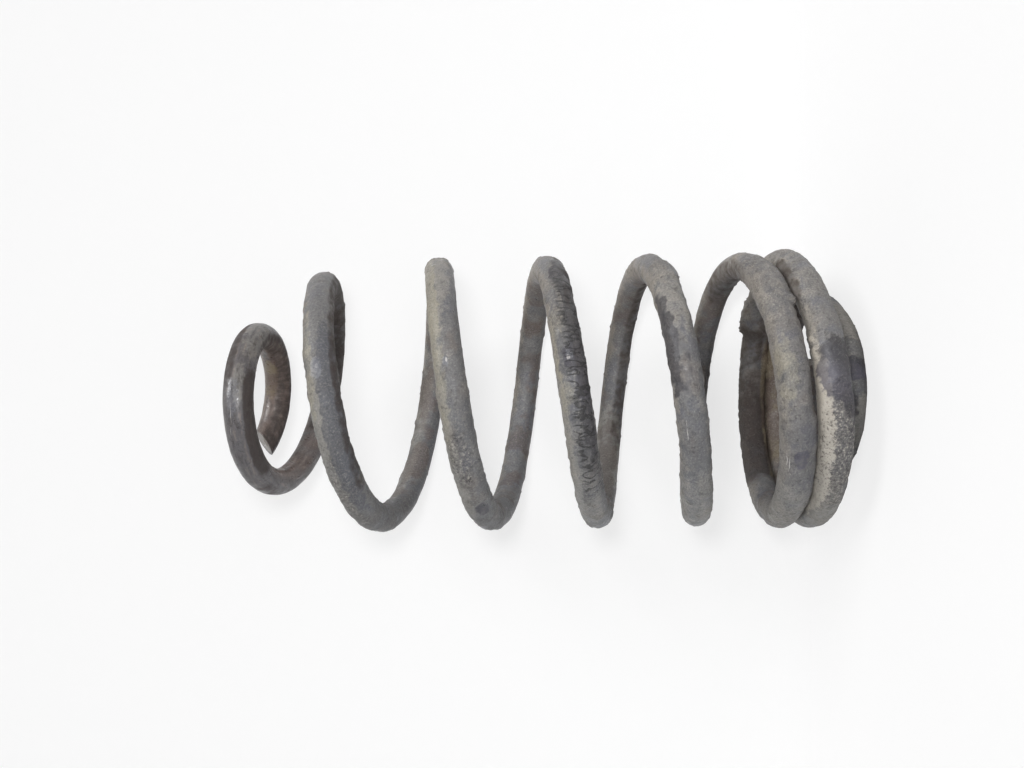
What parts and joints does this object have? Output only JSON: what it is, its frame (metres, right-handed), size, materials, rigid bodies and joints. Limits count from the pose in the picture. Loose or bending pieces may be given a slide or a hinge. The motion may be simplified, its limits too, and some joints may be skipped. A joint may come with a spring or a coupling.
{
  "type": "helical compression spring",
  "caption": "Heavy round-bar compression coil with falling pitch, closed lower coils and a narrower ring at each end.",
  "frame": {"origin": "on the axis of the coils, in the plane that the bottom end ring stands on", "axes": "+Z along the axis of the coils, from the closed coils to the narrow top ring"},
  "size_m": [0.1228, 0.1228, 0.2715],
  "materials": {
    "worn_steel": "worn dark paint over steel, with rust, crust and pale dust"
  },
  "bodies": {
    "root": {"coil_spring": "worn_steel"}
  },
  "joints": []
}
